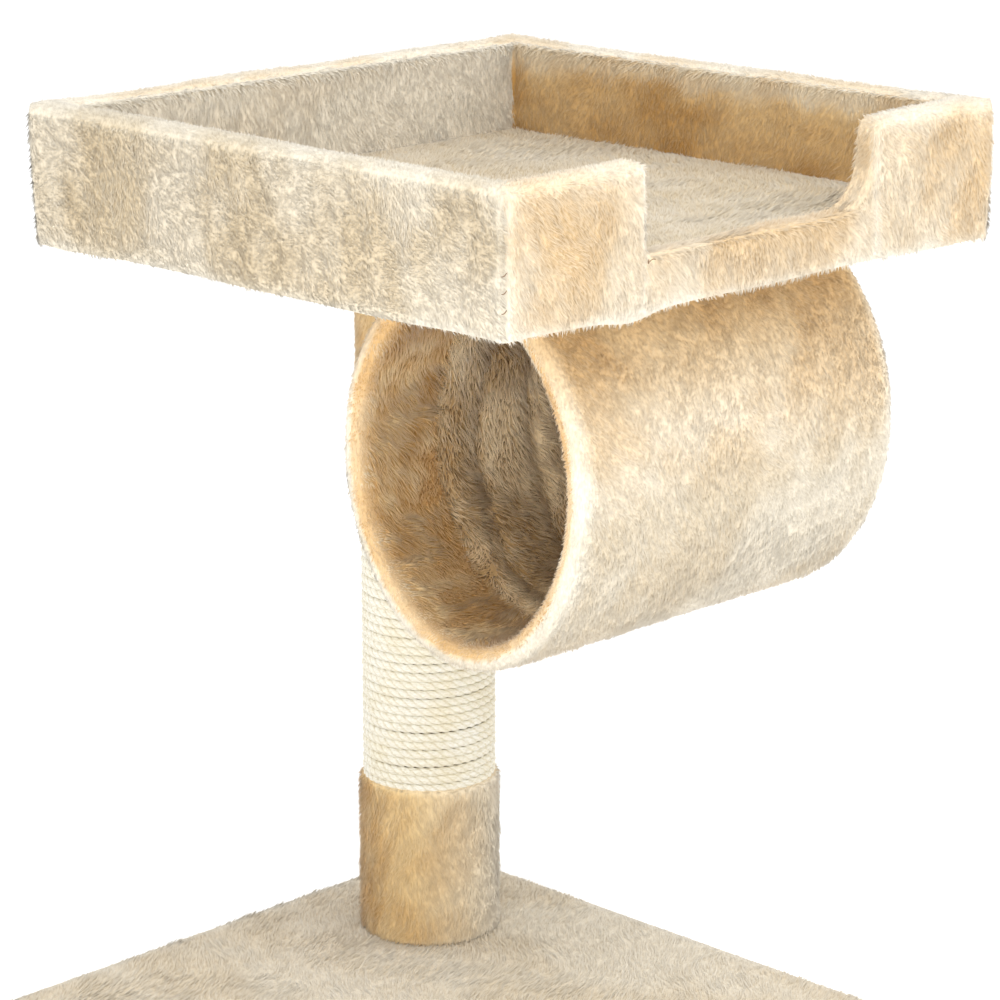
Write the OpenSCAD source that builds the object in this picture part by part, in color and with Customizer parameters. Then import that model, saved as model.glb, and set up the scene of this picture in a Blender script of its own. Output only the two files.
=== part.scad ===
// Cat tree: a plush-covered base board, one sisal post, an oval tunnel and a walled bed.
// Sizes are in millimetres. +Z is up, and the origin is the centre of the base's underside.
// The bed's entry faces -Y and the tunnel runs along X, beside the post.

/* [Base] */
// Length of the base along X
base_l = 500; // [430:10:600]
// Width of the base along Y
base_w = 500; // [430:10:600]
// Thickness of the base's particle board
base_board_t = 15; // [12:1:22]
// Radius of the base's corners
base_corner_r = 22; // [14:1:40]
// Distance from the post's axis to the base's right edge
post_to_right = 105; // [80:1:150]
// Distance from the post's axis to the base's rear edge
post_to_rear = 100; // [80:1:150]
// Width of the plush turned under the base board
base_hem_w = 35; // [25:1:60]
// Staples along each side of the base
base_staples_per_side = 6; // [3:1:8]

/* [Post] */
// Length of the post between the base and the bed
post_l = 489; // [420:1:620]
// Outer diameter of the cardboard tube
tube_d = 78; // [65:1:95]
// Wall of the cardboard tube
tube_wall = 4; // [3:0.5:6]
// Diameter of the sisal rope
rope_d = 6; // [4:0.5:8]
// Height of the plush sleeve at each end of the post
sleeve_h = 110; // [60:1:150]
// Thickness of the plush sleeves with their pile
sleeve_t = 7.5; // [5:0.5:10]
// Depth of the wooden plug in each end of the tube
plug_h = 30; // [28:1:45]

/* [Bed] */
// Length of the bed along X
bed_l = 430; // [380:1:520]
// Width of the bed along Y
bed_w = 413; // [380:1:520]
// Height of the bed from its underside to the top of its walls
bed_h = 90; // [80:1:140]
// Thickness of the bed's particle board
bed_board_t = 15; // [12:1:20]
// Thickness of the bed's wall panels
panel_t = 10; // [8:1:15]
// Thickness of the wadding under the bed's floor
pad_t = 5; // [3:1:12]
// Distance from the post's axis to the bed's right side
bed_to_right = 194; // [150:1:220]
// Distance from the post's axis to the bed's rear side
bed_to_rear = 111; // [80:1:150]
// Radius of the bed's upright corners
bed_corner_r = 12; // [8:1:25]
// Width of the plush turned under the bed board
bed_hem_w = 30; // [22:1:45]
// Staples along each side of the bed's underside
bed_staples_per_side = 5; // [3:1:7]

/* [Entry] */
// Length of the front wall to the left of the entry
cheek_l = 114; // [90:1:140]
// Width of the entry
entry_w = 209; // [150:1:230]
// Height of the lip across the entry, from the bed's underside
lip_h = 34; // [32:1:45]
// Radius at the foot of the entry's left side
left_foot_r = 8; // [4:1:20]
// Radius at the foot of the entry's right side
right_foot_r = 34; // [10:1:40]
// Radius at the top of the entry's left side
left_top_r = 8; // [5:1:12]
// Radius at the top of the entry's right side
right_top_r = 15; // [5:1:20]

/* [Tunnel] */
// Length of the tunnel
tunnel_l = 287; // [240:1:380]
// Width of the tunnel
tunnel_w = 202; // [180:1:240]
// Height of the tunnel
tunnel_h = 244; // [242:1:300]
// Outer radius of the tunnel's top and bottom
crown_r = 86; // [70:1:88]
// Wall of the tunnel's fibreboard shell
shell_t = 4; // [3:0.5:6]
// Gap between the tunnel and the post's plush sleeve
tunnel_gap = 2.5; // [1:0.5:20]
// Distance from the tunnel's open left end to the post's axis
tunnel_to_left = 117; // [90:1:140]
// Depth of the plush turned into each end of the tunnel
cuff_l = 65; // [30:1:80]
// Distance between the two bolts that hold the tunnel
tunnel_bolt_spacing = 90; // [60:1:100]

/* [Cover] */
// Thickness of the plush with its pile
plush_t = 4; // [3:0.2:5]
// Thickness of the plush where it is pressed under a board
hem_t = 2; // [1.5:0.5:3]

/* [Fasteners] */
// Diameter of the post bolts
post_bolt_d = 8; // [6:1:8]
// Length of the post bolts' shank
post_bolt_l = 40; // [35:1:40]
// Diameter of the tunnel bolts
tunnel_bolt_d = 6; // [5:1:6]
// Length of the tunnel bolts' shank
tunnel_bolt_l = 24; // [22:1:25]
// Diameter of the wood screws in the bed's walls
screw_d = 4; // [3:0.5:4.5]
// Length of the wood screws
screw_l = 35; // [30:1:40]
// Clearance round a bolt in a board
hole_gap = 0.4; // [0.3:0.1:1]
// Clearance round a bolt in its nut
thread_gap = 0.15; // [0.1:0.05:0.3]

/* [Hidden] */
$fn = 64;
ARC_STEPS = 16;
CORNER_STEPS = 6;
OVERCUT = 1;

// heights of the stack
base_t = hem_t + base_board_t + plush_t;
bed_z = base_t + post_l;
bed_board_top = hem_t + bed_board_t;
wall_t = plush_t + panel_t + plush_t;

// places on the plan
post_x = base_l / 2 - post_to_right;
post_y = base_w / 2 - post_to_rear;
bed_x1 = post_x + bed_to_right;
bed_x0 = bed_x1 - bed_l;
bed_y1 = post_y + bed_to_rear;
bed_y0 = bed_y1 - bed_w;
entry_x0 = bed_x0 + cheek_l;
entry_x1 = entry_x0 + entry_w;

// tunnel: four arcs, whose centres stay put when the outline grows or shrinks
tunnel_x0 = post_x - tunnel_to_left;
tunnel_mid_x = tunnel_x0 + tunnel_l / 2;
tunnel_y = post_y - tube_d / 2 - sleeve_t - tunnel_gap - tunnel_w / 2;
tunnel_z = bed_z - tunnel_h / 2;
crown_rise = tunnel_h / 2 - crown_r;
crown_side = tunnel_w / 2 - crown_r;
side_shift = (crown_rise * crown_rise - crown_side * crown_side) / (2 * crown_side);
side_r = tunnel_w / 2 + side_shift;
arc_turn = atan2(crown_rise, side_shift);

// post
tube_r = tube_d / 2;
plug_r = tube_r - tube_wall;
rope_h = post_l - 2 * sleeve_h;
rope_turns = round(rope_h / rope_d);
rope_pitch = rope_h / rope_turns;
rope_arc = 60;
rope_arc_step = 40;

// post bolts: the head and washer sit in a counterbore
post_head_r = 7;
post_head_h = 4.5;
post_washer_r = 11;
post_washer_t = 1.6;
counterbore_r = 13;
counterbore_h = 7;
insert_r = 6.5;
insert_l = 20;
socket_r = 2.9;
socket_h = 3;

// tunnel bolts: the washer bridges the crown of the shell
tunnel_head_r = 5.5;
tunnel_head_h = 3.2;
tunnel_washer_r = 9;
tunnel_washer_t = 1.5;
shell_crown_r = crown_r - plush_t - shell_t;
washer_drop = shell_crown_r - sqrt(pow(shell_crown_r, 2) - pow(tunnel_washer_r, 2));
tunnel_seat_z = bed_z - plush_t - shell_t - washer_drop - tunnel_washer_t;
tee_flange_r = 10;
tee_flange_t = 1.5;
tee_barrel_r = 4.8;
tee_barrel_l = 9;
lining_hole_r = 12;

// wood screws
screw_head_h = 2.6;
screw_inset = plush_t + panel_t / 2;
screw_margin = 30;
entry_screw_gap = 16;
screws_per_wall = 3;

// staples
staple_w = 10;
staple_leg = 6;
staple_wire = 0.8;
staple_recess = 0.4;
staple_margin = 45;

plush_colour = "#d9c19a";
lining_colour = "#a08a69";
board_colour = "#c9a877";
card_colour = "#b08d5f";
sisal_colour = "#e6dcc0";
steel_colour = "#b9bcc0";
felt_colour = "#8d857b";

// ---- outlines -------------------------------------------------------------

// points on an arc, without the last one
function arc(cx, cy, r, from, to, steps) =
    [for (i = [0:steps - 1]) let (a = from + (to - from) * i / steps)
        [cx + r * cos(a), cy + r * sin(a)]];

function rounded_rect(x0, y0, x1, y1, r) = concat(
    arc(x1 - r, y1 - r, r, 0, 90, CORNER_STEPS), [[x1 - r, y1]],
    arc(x0 + r, y1 - r, r, 90, 180, CORNER_STEPS), [[x0, y1 - r]],
    arc(x0 + r, y0 + r, r, 180, 270, CORNER_STEPS), [[x0 + r, y0]],
    arc(x1 - r, y0 + r, r, 270, 360, CORNER_STEPS), [[x1, y0 + r]]
);

// the tunnel's section, grown by g
function oval(g) = concat(
    arc(-side_shift, 0, side_r + g, -arc_turn, arc_turn, ARC_STEPS),
    arc(0, crown_rise, crown_r + g, arc_turn, 180 - arc_turn, ARC_STEPS),
    arc(side_shift, 0, side_r + g, 180 - arc_turn, 180 + arc_turn, ARC_STEPS),
    arc(0, -crown_rise, crown_r + g, 180 + arc_turn, 360 - arc_turn, ARC_STEPS)
);

// the entry's outline in the front wall, grown by g and open at the top
function entry(g) = concat(
    [[entry_x0 - left_top_r, bed_h + OVERCUT], [entry_x0 - left_top_r, bed_h - g]],
    arc(entry_x0 - left_top_r, bed_h - left_top_r, left_top_r - g, 90, 0, CORNER_STEPS),
    [[entry_x0 - g, bed_h - left_top_r]],
    arc(entry_x0 + left_foot_r, lip_h + left_foot_r, left_foot_r + g, 180, 270, CORNER_STEPS),
    [[entry_x0 + left_foot_r, lip_h - g]],
    arc(entry_x1 - right_foot_r, lip_h + right_foot_r, right_foot_r + g, 270, 360, CORNER_STEPS),
    [[entry_x1 + g, lip_h + right_foot_r]],
    arc(entry_x1 + right_top_r, bed_h - right_top_r, right_top_r - g, 180, 90, CORNER_STEPS),
    [[entry_x1 + right_top_r, bed_h - g], [entry_x1 + right_top_r, bed_h + OVERCUT]]
);

// ---- shared shapes ----------------------------------------------------------

// a slab over the base, inset from its edges
module base_slab(inset, z, h) {
    translate([0, 0, z]) linear_extrude(h)
        polygon(rounded_rect(inset - base_l / 2, inset - base_w / 2,
            base_l / 2 - inset, base_w / 2 - inset, max(base_corner_r - inset, 2)));
}

// a slab over the bed, inset from its sides, at a height above the bed's underside
module bed_slab(inset, z, h) {
    translate([0, 0, bed_z + z]) linear_extrude(h)
        polygon(rounded_rect(bed_x0 + inset, bed_y0 + inset,
            bed_x1 - inset, bed_y1 - inset, max(bed_corner_r - inset, 2)));
}

// the entry's outline carried through the front wall
module entry_cut(g, front = 0) {
    translate([0, bed_y0 + wall_t, bed_z]) rotate([90, 0, 0])
        linear_extrude(wall_t + front) polygon(entry(g));
}

// a length of the tunnel's section between two growths
module tunnel_ring(outer, inner, x, l) {
    translate([x, tunnel_y, tunnel_z]) rotate([90, 0, 90]) linear_extrude(l)
        difference() {
            polygon(oval(outer));
            polygon(oval(inner));
        }
}

module ring(outer_r, inner_r, h) {
    difference() {
        cylinder(r = outer_r, h = h);
        translate([0, 0, -OVERCUT]) cylinder(r = inner_r, h = h + 2 * OVERCUT);
    }
}

module at_post(z) {
    translate([post_x, post_y, z]) children();
}

module at_tunnel_bolts(z) {
    for (side = [-1, 1])
        translate([tunnel_mid_x + side * tunnel_bolt_spacing / 2, tunnel_y, z]) children();
}

// a socket-head bolt, with its seat at z = 0 and its shank upwards
module bolt(shank_r, shank_l, head_r, head_h) {
    difference() {
        union() {
            translate([0, 0, -head_h]) cylinder(r = head_r, h = head_h);
            cylinder(r = shank_r, h = shank_l);
        }
        translate([0, 0, -head_h - OVERCUT])
            cylinder(r = socket_r, h = socket_h + OVERCUT, $fn = 6);
    }
}

// a countersunk wood screw, with its head's face at z = 0 and its point upwards
module wood_screw() {
    rotate_extrude() polygon([
        [0, 0], [screw_d, 0], [screw_d / 2, screw_head_h],
        [screw_d / 2, screw_l - screw_d], [0, screw_l]
    ]);
}

// a staple whose crown lies along X at z = 0, with its legs upwards
module staple() {
    translate([-staple_w / 2, -staple_wire / 2, 0])
        cube([staple_w, staple_wire, staple_wire]);
    for (side = [-1, 1])
        translate([side * (staple_w - staple_wire) / 2 - staple_wire / 2, -staple_wire / 2, 0])
            cube([staple_wire, staple_wire, staple_leg]);
}

// a row of staples along each side of a board, d in from its edge
module staple_rows(x0, y0, x1, y1, d, count) {
    for (i = [0:count - 1]) let (t = i / (count - 1)) {
        for (y = [y0 + d, y1 - d])
            translate([x0 + staple_margin + t * (x1 - x0 - 2 * staple_margin), y, 0]) staple();
        for (x = [x0 + d, x1 - d])
            translate([x, y0 + staple_margin + t * (y1 - y0 - 2 * staple_margin), 0])
                rotate([0, 0, 90]) staple();
    }
}

module all_base_staples() {
    translate([0, 0, staple_recess])
        staple_rows(-base_l / 2, -base_w / 2, base_l / 2, base_w / 2,
            plush_t + (base_hem_w - plush_t) / 2, base_staples_per_side);
}

module all_bed_staples() {
    translate([0, 0, bed_z + staple_recess])
        staple_rows(bed_x0, bed_y0, bed_x1, bed_y1,
            wall_t + (bed_hem_w - wall_t) / 2, bed_staples_per_side);
}

// opens a staple's slot to the face below it
module staple_slots() {
    children();
    translate([0, 0, -staple_recess]) children();
}

// the wood screws through the bed board into the walls' lower edges; the front wall's keep to
// the cheeks, beside the entry
module wall_screws() {
    front_x = [bed_x0 + screw_margin, entry_x0 - entry_screw_gap,
        entry_x1 + entry_screw_gap, bed_x1 - screw_margin];
    for (x = front_x)
        translate([x, bed_y0 + screw_inset, bed_z + hem_t]) wood_screw();
    for (i = [0:screws_per_wall - 1]) let (t = i / (screws_per_wall - 1)) {
        translate([bed_x0 + screw_margin + t * (bed_l - 2 * screw_margin),
            bed_y1 - screw_inset, bed_z + hem_t]) wood_screw();
        for (x = [bed_x0 + screw_inset, bed_x1 - screw_inset])
            translate([x, bed_y0 + screw_margin + t * (bed_w - 2 * screw_margin),
                bed_z + hem_t]) wood_screw();
    }
}

// ---- base -------------------------------------------------------------------

module base_board() {
    color(board_colour) difference() {
        base_slab(plush_t, hem_t, base_board_t);
        at_post(0) {
            cylinder(r = counterbore_r, h = hem_t + counterbore_h);
            cylinder(r = post_bolt_d / 2 + hole_gap, h = base_t);
        }
        all_base_staples();
    }
}

module base_cover() {
    color(plush_colour) difference() {
        base_slab(0, 0, base_t);
        base_slab(plush_t, hem_t, base_board_t);
        base_slab(base_hem_w, -OVERCUT, hem_t + 2 * OVERCUT);
        at_post(0) cylinder(r = post_bolt_d / 2 + hole_gap, h = base_t + OVERCUT);
        staple_slots() all_base_staples();
    }
}

module base_backing() {
    color(felt_colour) difference() {
        base_slab(base_hem_w, 0, hem_t);
        at_post(-OVERCUT) cylinder(r = counterbore_r, h = hem_t + 2 * OVERCUT);
    }
}

module base_staples() {
    color(steel_colour) all_base_staples();
}

// ---- post -------------------------------------------------------------------

module post_tube() {
    color(card_colour) at_post(base_t) ring(tube_r, plug_r, post_l);
}

module post_plug(z) {
    color(board_colour) at_post(z) ring(plug_r, insert_r, plug_h);
}

module post_lower_plug() post_plug(base_t);

module post_upper_plug() post_plug(bed_z - plug_h);

module post_inserts() {
    color(steel_colour)
        for (z = [base_t, bed_z - insert_l])
            at_post(z) ring(insert_r, post_bolt_d / 2 + thread_gap, insert_l);
}

module post_bolts() {
    color(steel_colour) {
        at_post(hem_t + counterbore_h - post_washer_t)
            bolt(post_bolt_d / 2, post_bolt_l, post_head_r, post_head_h);
        at_post(bed_z + bed_board_top - counterbore_h + post_washer_t)
            mirror([0, 0, 1]) bolt(post_bolt_d / 2, post_bolt_l, post_head_r, post_head_h);
    }
}

module post_washers() {
    color(steel_colour)
        for (z = [hem_t + counterbore_h - post_washer_t, bed_z + bed_board_top - counterbore_h])
            at_post(z) ring(post_washer_r, post_bolt_d / 2 + hole_gap, post_washer_t);
}

// the winding as a stack of rounded turns
module sisal_rope() {
    bulges = [for (i = [0:rope_turns - 1]) for (a = [-rope_arc:rope_arc_step:rope_arc])
        [tube_r + rope_d / 2 * (1 + cos(a)), rope_pitch * (i + 0.5 + sin(a) / 2)]];
    color(sisal_colour) at_post(base_t + sleeve_h) rotate_extrude()
        polygon(concat([[tube_r, 0]], bulges, [[tube_r, rope_h]]));
}

module post_sleeve(z) {
    color(plush_colour) at_post(z) ring(tube_r + sleeve_t, tube_r, sleeve_h);
}

module post_lower_sleeve() post_sleeve(base_t);

module post_upper_sleeve() post_sleeve(bed_z - sleeve_h);

// ---- tunnel -----------------------------------------------------------------

module tunnel_shell() {
    color(card_colour) difference() {
        tunnel_ring(-plush_t, -plush_t - shell_t, tunnel_x0 + plush_t, tunnel_l - 2 * plush_t);
        at_tunnel_bolts(tunnel_z) cylinder(r = tunnel_bolt_d / 2 + hole_gap, h = tunnel_h / 2);
    }
}

// the plush round the shell, over both rims and in as far as the lining
module tunnel_cover() {
    color(plush_colour) difference() {
        tunnel_ring(0, -2 * plush_t - shell_t, tunnel_x0, tunnel_l);
        tunnel_ring(-plush_t, -plush_t - shell_t, tunnel_x0 + plush_t, tunnel_l - 2 * plush_t);
        tunnel_ring(-plush_t, -tunnel_w / 4, tunnel_x0 + cuff_l, tunnel_l - 2 * cuff_l);
        at_tunnel_bolts(tunnel_z)
            cylinder(r = tunnel_bolt_d / 2 + hole_gap, h = tunnel_h / 2 + OVERCUT);
    }
}

module tunnel_lining() {
    color(lining_colour) difference() {
        tunnel_ring(-plush_t - shell_t, -2 * plush_t - shell_t,
            tunnel_x0 + cuff_l, tunnel_l - 2 * cuff_l);
        at_tunnel_bolts(tunnel_z) cylinder(r = lining_hole_r, h = tunnel_h / 2);
    }
}

module tunnel_bolts() {
    color(steel_colour) at_tunnel_bolts(tunnel_seat_z)
        bolt(tunnel_bolt_d / 2, tunnel_bolt_l, tunnel_head_r, tunnel_head_h);
}

module tunnel_washers() {
    color(steel_colour) at_tunnel_bolts(tunnel_seat_z)
        ring(tunnel_washer_r, tunnel_bolt_d / 2 + hole_gap, tunnel_washer_t);
}

// a tee nut's outside, with the top of its flange at z = 0
module tee_nut_body() {
    translate([0, 0, -tee_flange_t]) cylinder(r = tee_flange_r, h = tee_flange_t);
    translate([0, 0, -tee_flange_t - tee_barrel_l]) cylinder(r = tee_barrel_r, h = tee_barrel_l);
}

module tunnel_tee_nuts() {
    color(steel_colour) at_tunnel_bolts(bed_z + bed_board_top) difference() {
        tee_nut_body();
        translate([0, 0, -bed_board_t]) cylinder(r = tunnel_bolt_d / 2 + thread_gap,
            h = bed_board_t + OVERCUT);
    }
}

// ---- bed --------------------------------------------------------------------

module bed_board() {
    color(board_colour) difference() {
        bed_slab(plush_t, hem_t, bed_board_t);
        at_post(bed_z + bed_board_top - counterbore_h)
            cylinder(r = counterbore_r, h = counterbore_h + OVERCUT);
        at_post(bed_z) cylinder(r = post_bolt_d / 2 + hole_gap, h = bed_board_top);
        at_tunnel_bolts(bed_z) cylinder(r = tunnel_bolt_d / 2 + hole_gap, h = bed_board_top);
        at_tunnel_bolts(bed_z + bed_board_top) tee_nut_body();
        wall_screws();
        all_bed_staples();
    }
}

// a stretch of the wall ring: the panels' own zone, clipped to a plan rectangle
module wall_panel(x0, y0, x1, y1) {
    color(board_colour) difference() {
        intersection() {
            bed_slab(plush_t, bed_board_top, bed_h - plush_t - bed_board_top);
            translate([x0, y0, bed_z]) cube([x1 - x0, y1 - y0, bed_h]);
        }
        wall_screws();
    }
}

module bed_front_wall() {
    difference() {
        wall_panel(bed_x0, bed_y0, bed_x1, bed_y0 + plush_t + panel_t);
        entry_cut(plush_t, OVERCUT);
    }
}

module bed_rear_wall()
    wall_panel(bed_x0, bed_y1 - plush_t - panel_t, bed_x1, bed_y1);

module bed_left_wall()
    wall_panel(bed_x0, bed_y0 + plush_t + panel_t,
        bed_x0 + plush_t + panel_t, bed_y1 - plush_t - panel_t);

module bed_right_wall()
    wall_panel(bed_x1 - plush_t - panel_t, bed_y0 + plush_t + panel_t,
        bed_x1, bed_y1 - plush_t - panel_t);

module bed_wall_screws() {
    color(steel_colour) wall_screws();
}

// the plush round the outside, over the walls, round the entry and under the board
module bed_cover() {
    color(plush_colour) difference() {
        bed_slab(0, 0, bed_h);
        difference() {
            bed_slab(plush_t, hem_t, bed_h - plush_t - hem_t);
            difference() {
                entry_cut(plush_t, OVERCUT);
                translate([bed_x0, bed_y0, bed_z]) cube([bed_l, wall_t, bed_board_top]);
            }
        }
        bed_slab(wall_t, bed_board_top, bed_h);
        entry_cut(0, OVERCUT);
        bed_slab(bed_hem_w, -OVERCUT, hem_t + 2 * OVERCUT);
        staple_slots() all_bed_staples();
    }
}

module bed_lining() {
    color(plush_colour) difference() {
        bed_slab(plush_t + panel_t, bed_board_top, bed_h - plush_t - bed_board_top);
        bed_slab(wall_t, bed_board_top - OVERCUT, bed_h);
        entry_cut(plush_t, OVERCUT);
    }
}

module bed_pad() {
    color("white") bed_slab(wall_t, bed_board_top, pad_t);
}

module bed_floor_cover() {
    color(plush_colour) bed_slab(wall_t, bed_board_top + pad_t, plush_t);
}

module bed_underside_cover() {
    color(plush_colour) difference() {
        bed_slab(bed_hem_w, 0, hem_t);
        at_post(bed_z - OVERCUT) cylinder(r = post_bolt_d / 2 + hole_gap, h = hem_t + 2 * OVERCUT);
        at_tunnel_bolts(bed_z - OVERCUT)
            cylinder(r = tunnel_bolt_d / 2 + hole_gap, h = hem_t + 2 * OVERCUT);
    }
}

module bed_staples() {
    color(steel_colour) all_bed_staples();
}

base_board();
base_cover();
base_backing();
base_staples();
post_tube();
post_lower_plug();
post_upper_plug();
post_inserts();
post_bolts();
post_washers();
sisal_rope();
post_lower_sleeve();
post_upper_sleeve();
tunnel_shell();
tunnel_cover();
tunnel_lining();
tunnel_bolts();
tunnel_washers();
tunnel_tee_nuts();
bed_board();
bed_front_wall();
bed_rear_wall();
bed_left_wall();
bed_right_wall();
bed_wall_screws();
bed_cover();
bed_lining();
bed_pad();
bed_floor_cover();
bed_underside_cover();
bed_staples();
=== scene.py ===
import math

import bpy
import numpy as np
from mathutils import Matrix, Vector
from mathutils.bvhtree import BVHTree


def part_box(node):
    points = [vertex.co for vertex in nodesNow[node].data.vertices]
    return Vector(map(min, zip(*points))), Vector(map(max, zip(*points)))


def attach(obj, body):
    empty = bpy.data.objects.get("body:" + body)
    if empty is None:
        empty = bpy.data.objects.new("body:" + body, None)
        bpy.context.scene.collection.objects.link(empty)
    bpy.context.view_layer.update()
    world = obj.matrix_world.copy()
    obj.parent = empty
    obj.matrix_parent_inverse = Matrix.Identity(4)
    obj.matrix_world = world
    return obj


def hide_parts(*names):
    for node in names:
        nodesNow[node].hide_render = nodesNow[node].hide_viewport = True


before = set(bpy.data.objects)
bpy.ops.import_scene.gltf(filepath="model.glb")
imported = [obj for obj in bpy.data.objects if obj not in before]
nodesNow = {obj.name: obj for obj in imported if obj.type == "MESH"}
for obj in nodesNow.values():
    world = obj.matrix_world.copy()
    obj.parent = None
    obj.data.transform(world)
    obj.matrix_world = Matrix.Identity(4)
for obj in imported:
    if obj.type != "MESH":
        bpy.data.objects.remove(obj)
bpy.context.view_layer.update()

wallBoards = ("bed_front_wall", "bed_rear_wall", "bed_left_wall", "bed_right_wall")
pileRoom = 0.0005  # what a cover gives up under its pile


def say(text):
    print("[cat tree]", text, flush=True)


def boxOf(node):
    low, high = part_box(node)
    return np.array(low), np.array(high)


def tone(red, green, blue):
    # a colour from 0 to 255 as the linear colour that a shader takes
    linear = []
    for c in (red, green, blue):
        c = c / 255
        linear.append(c / 12.92 if c <= 0.04045 else ((c + 0.055) / 1.055) ** 2.4)
    return (*linear, 1.0)


def deselect():
    if bpy.context.object and bpy.context.object.mode != "OBJECT":
        bpy.ops.object.mode_set(mode="OBJECT")
    bpy.ops.object.select_all(action="DESELECT")


def makeActive(piece):
    deselect()
    piece.select_set(True)
    bpy.context.view_layer.objects.active = piece


def editMode(piece, pick="SELECT"):
    makeActive(piece)
    bpy.ops.object.mode_set(mode="EDIT")
    bpy.ops.mesh.select_mode(type="VERT")
    bpy.ops.mesh.select_all(action=pick)


def objectMode():
    bpy.ops.object.mode_set(mode="OBJECT")


def addPiece(name, data):
    piece = bpy.data.objects.new(name, data)
    bpy.context.collection.objects.link(piece)
    return piece


def cutAcross(piece, place, way):
    editMode(piece)
    bpy.ops.mesh.bisect(plane_co=place, plane_no=way)
    objectMode()


def turnOut(piece):
    # every face outwards
    editMode(piece)
    bpy.ops.mesh.normals_make_consistent(inside=False)
    objectMode()


def treeOf(piece):
    return BVHTree.FromPolygons([v.co for v in piece.data.vertices],
                                [list(f.vertices) for f in piece.data.polygons])


def pointsOf(piece):
    co = np.empty(len(piece.data.vertices) * 3, np.float32)
    piece.data.vertices.foreach_get("co", co)
    return co.reshape(-1, 3).astype(float)


def setPoints(piece, co):
    piece.data.vertices.foreach_set("co", co.astype(np.float32).ravel())
    piece.data.update()


def normalsOf(piece):
    found = np.empty(len(piece.data.vertices) * 3, np.float32)
    piece.data.vertex_normals.foreach_get("vector", found)
    return found.reshape(-1, 3).astype(float)


def unit(v):
    return v / np.maximum(np.linalg.norm(v, axis=-1, keepdims=True), 1e-9)


def smoothNoise(co, size, seed):
    # a soft field from -1 to 1 whose lumps are about size across, the same each run
    rng = np.random.default_rng(seed)
    total = np.zeros(len(co))
    for _ in range(9):
        way = unit(rng.normal(size=3))
        wave = 2 * math.pi / (size * rng.uniform(1.3, 3.2))
        total += np.sin(co @ way * wave + rng.uniform(0, 6.28))
    return np.tanh(total / 3.0)


def finishPiece(piece, slot, material, *nodes):
    piece.data.materials.clear()
    piece.data.materials.append(material)
    if nodes:
        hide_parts(*nodes)
    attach(piece, "root")
    return piece


def newMaterial(name, roughness=0.9, sheen=0.0):
    material = bpy.data.materials.new(name)
    material.use_nodes = True
    shader = material.node_tree.nodes["Principled BSDF"]
    shader.inputs["Roughness"].default_value = roughness
    shader.inputs["Specular IOR Level"].default_value = 0.25
    if sheen:
        shader.inputs["Sheen Weight"].default_value = sheen
        shader.inputs["Sheen Roughness"].default_value = 0.55
    return material, material.node_tree.nodes, material.node_tree.links, shader


def stretchedPlace(nodes, links, stretch):
    coordinates = nodes.new("ShaderNodeTexCoord")
    mapping = nodes.new("ShaderNodeMapping")
    mapping.inputs["Scale"].default_value = stretch
    links.new(coordinates.outputs["Object"], mapping.inputs["Vector"])
    return mapping.outputs["Vector"]


def noiseNode(nodes, links, scale, detail=3.0, stretch=(1, 1, 1)):
    noise = nodes.new("ShaderNodeTexNoise")
    noise.inputs["Scale"].default_value = scale
    noise.inputs["Detail"].default_value = detail
    links.new(stretchedPlace(nodes, links, stretch), noise.inputs["Vector"])
    return noise.outputs["Fac"]


def rampNode(nodes, links, factor, stops):
    ramp = nodes.new("ShaderNodeValToRGB")
    links.new(factor, ramp.inputs["Fac"])
    elements = ramp.color_ramp.elements
    while len(elements) < len(stops):
        elements.new(0.5)
    for element, (place, colour) in zip(elements, stops):
        element.position = place
        element.color = colour
    return ramp.outputs["Color"]


def mixNode(nodes, links, factor, first, second, blend="MIX"):
    # blends two colours, each of them a plain value or another node's output
    mix = nodes.new("ShaderNodeMix")
    mix.data_type = "RGBA"
    mix.blend_type = blend
    for socket, value in ((mix.inputs[0], factor), (mix.inputs[6], first), (mix.inputs[7], second)):
        if isinstance(value, bpy.types.NodeSocket):
            links.new(value, socket)
        else:
            socket.default_value = value
    return mix.outputs[2]


def shadeBy(nodes, links, colour, shade):
    return mixNode(nodes, links, 1.0, colour, shade, "MULTIPLY")


def attributeNode(nodes, name):
    attribute = nodes.new("ShaderNodeAttribute")
    attribute.attribute_name = name
    return attribute.outputs["Fac"]


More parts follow.
